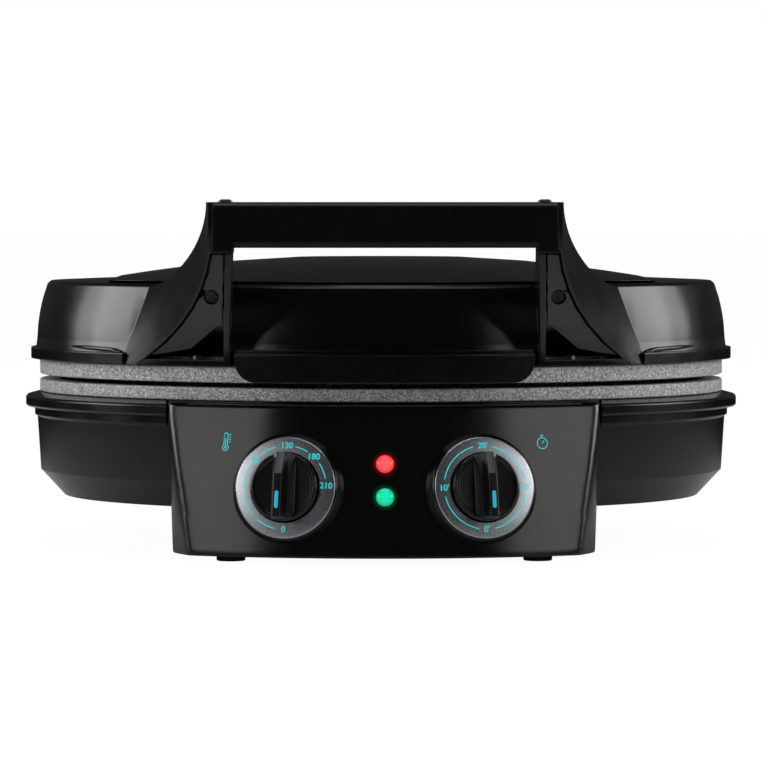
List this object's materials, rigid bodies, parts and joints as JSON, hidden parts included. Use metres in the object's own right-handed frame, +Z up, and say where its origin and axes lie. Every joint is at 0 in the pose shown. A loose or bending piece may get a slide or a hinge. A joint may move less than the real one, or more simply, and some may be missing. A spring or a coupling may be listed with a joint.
{
  "type": "electric pizza maker",
  "caption": "Round countertop pizza maker with two coated baking plates, a hinged lid with a bridge handle, and a front control panel with temperature and timer knobs.",
  "frame": {"origin": "on the table, under the common centre of the two round plates", "axes": "+Z up; the control panel and the handle face -Y; the hinge axis runs along X at the back"},
  "size_m": [0.354, 0.406, 0.1694],
  "materials": {
    "black_gloss_shell": "gloss black moulding",
    "black_satin_plastic": "satin black moulding",
    "dark_grey_insert": "dark grey satin moulding",
    "stone_coated_aluminium": "speckled grey non-stick coating",
    "silver_dial": "satin silver with printed scale",
    "steel": "zinc-plated steel",
    "aluminised_sheet": "mill finish sheet",
    "heater_sheath": "dark annealed sheath",
    "rubber": "moulded rubber",
    "cyan_mark": "moulded-in mark",
    "red_lens": "diffusing tinted lens",
    "green_lens": "diffusing tinted lens",
    "lamp_glass": "clear lamp",
    "circuit_board": "phenolic board",
    "ceramic": "glazed porcelain",
    "switch_case": "moulded phenolic"
  },
  "bodies": {
    "base": {"base_shell": "black_gloss_shell", "control_cover": "black_satin_plastic", "control_housing": "black_gloss_shell", "cord_inlet": "rubber", "cover_screws": "steel", "front_feet": "rubber", "green_lamp": "lamp_glass", "green_lens": "green_lens", "hinge_pins": "steel", "lamp_board": "circuit_board", "lower_heat_shield": "aluminised_sheet", "lower_heater": "heater_sheath", "lower_plate": "stone_coated_aluminium", "lower_plate_screws": "steel", "plate_catches": "black_satin_plastic", "rear_cover": "black_satin_plastic", "rear_feet": "rubber", "rear_housing": "black_satin_plastic", "red_lamp": "lamp_glass", "red_lens": "red_lens", "temperature_dial": "silver_dial", "temperature_switch": "switch_case", "terminal_block": "ceramic", "thermal_cutout": "switch_case", "timer_dial": "silver_dial", "timer_switch": "switch_case"},
    "lid": {"lid_shell": "black_gloss_shell", "upper_plate": "stone_coated_aluminium", "upper_heater": "heater_sheath", "upper_heat_shield": "aluminised_sheet", "upper_shield_screws": "steel", "rim_screws": "steel", "front_lip": "black_gloss_shell", "handle_bar": "black_satin_plastic", "handle_cover": "black_satin_plastic", "lid_bumpers": "rubber", "left_insert": "dark_grey_insert", "right_insert": "dark_grey_insert", "insert_screws": "steel", "hinge_arms": "black_satin_plastic", "hinge_arm_screws": "steel"},
    "temperature_control": {"temperature_knob": "black_gloss_shell", "temperature_pointer": "cyan_mark", "temperature_shaft": "steel"},
    "timer_control": {"timer_knob": "black_gloss_shell", "timer_pointer": "cyan_mark", "timer_shaft": "steel"}
  },
  "joints": [
    {"name": "lid_hinge", "type": "hinge", "parent": "base", "child": "lid", "pos_m": [0, 0.192, 0.0847], "axis": [-1, 0, 0], "range_deg": [0, 180]},
    {"name": "temperature_turn", "type": "hinge", "parent": "base", "child": "temperature_control", "pos_m": [-0.0454, -0.17842, 0.0349], "axis": [0.2425, 0.9531, -0.1811], "range_deg": [0, 270]},
    {"name": "timer_turn", "type": "hinge", "parent": "base", "child": "timer_control", "pos_m": [0.0454, -0.17842, 0.0349], "axis": [-0.2425, 0.9531, -0.1811], "range_deg": [0, 270]}
  ]
}
